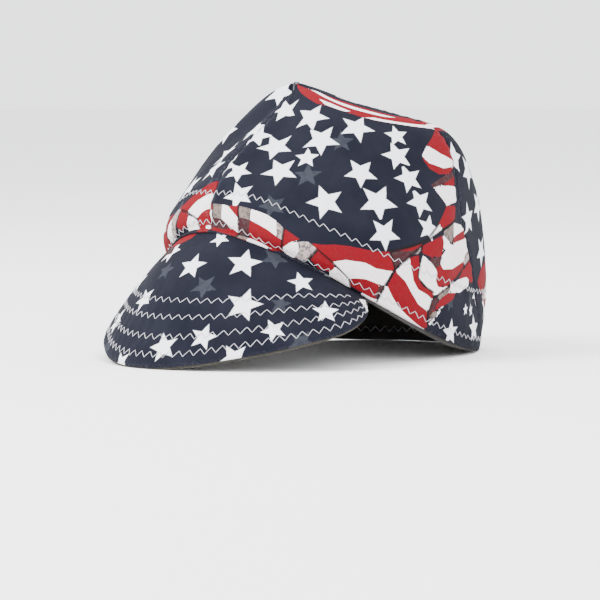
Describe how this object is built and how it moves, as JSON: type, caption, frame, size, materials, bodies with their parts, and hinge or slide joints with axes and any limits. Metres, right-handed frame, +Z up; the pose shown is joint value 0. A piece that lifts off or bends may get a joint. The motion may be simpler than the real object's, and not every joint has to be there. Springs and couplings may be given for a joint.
{
  "type": "welding cap",
  "caption": "Soft cotton work cap with a tall gored crown, a short drooping cloth peak and an inner band, lying on its rim.",
  "frame": {"origin": "on the surface that the cap lies on, under the middle of its bounding box", "axes": "+Z up, the peak points to -Y, the wearer's left is +X"},
  "size_m": [0.1814, 0.2464, 0.1537],
  "materials": {
    "crown_cloth": "matt printed cotton twill, navy with white stars and red and white stripes",
    "peak_cloth": "matt printed cotton twill, navy with white stars, white zigzag stitching",
    "underside_cloth": "matt olive cotton, zigzag stitched",
    "band_cloth": "matt dark cotton"
  },
  "bodies": {
    "root": {"crown_panel_left": "crown_cloth", "crown_panel_back": "crown_cloth", "crown_panel_right": "crown_cloth", "inner_band": "band_cloth", "peak_top": "peak_cloth", "peak_underside": "underside_cloth"}
  },
  "joints": []
}
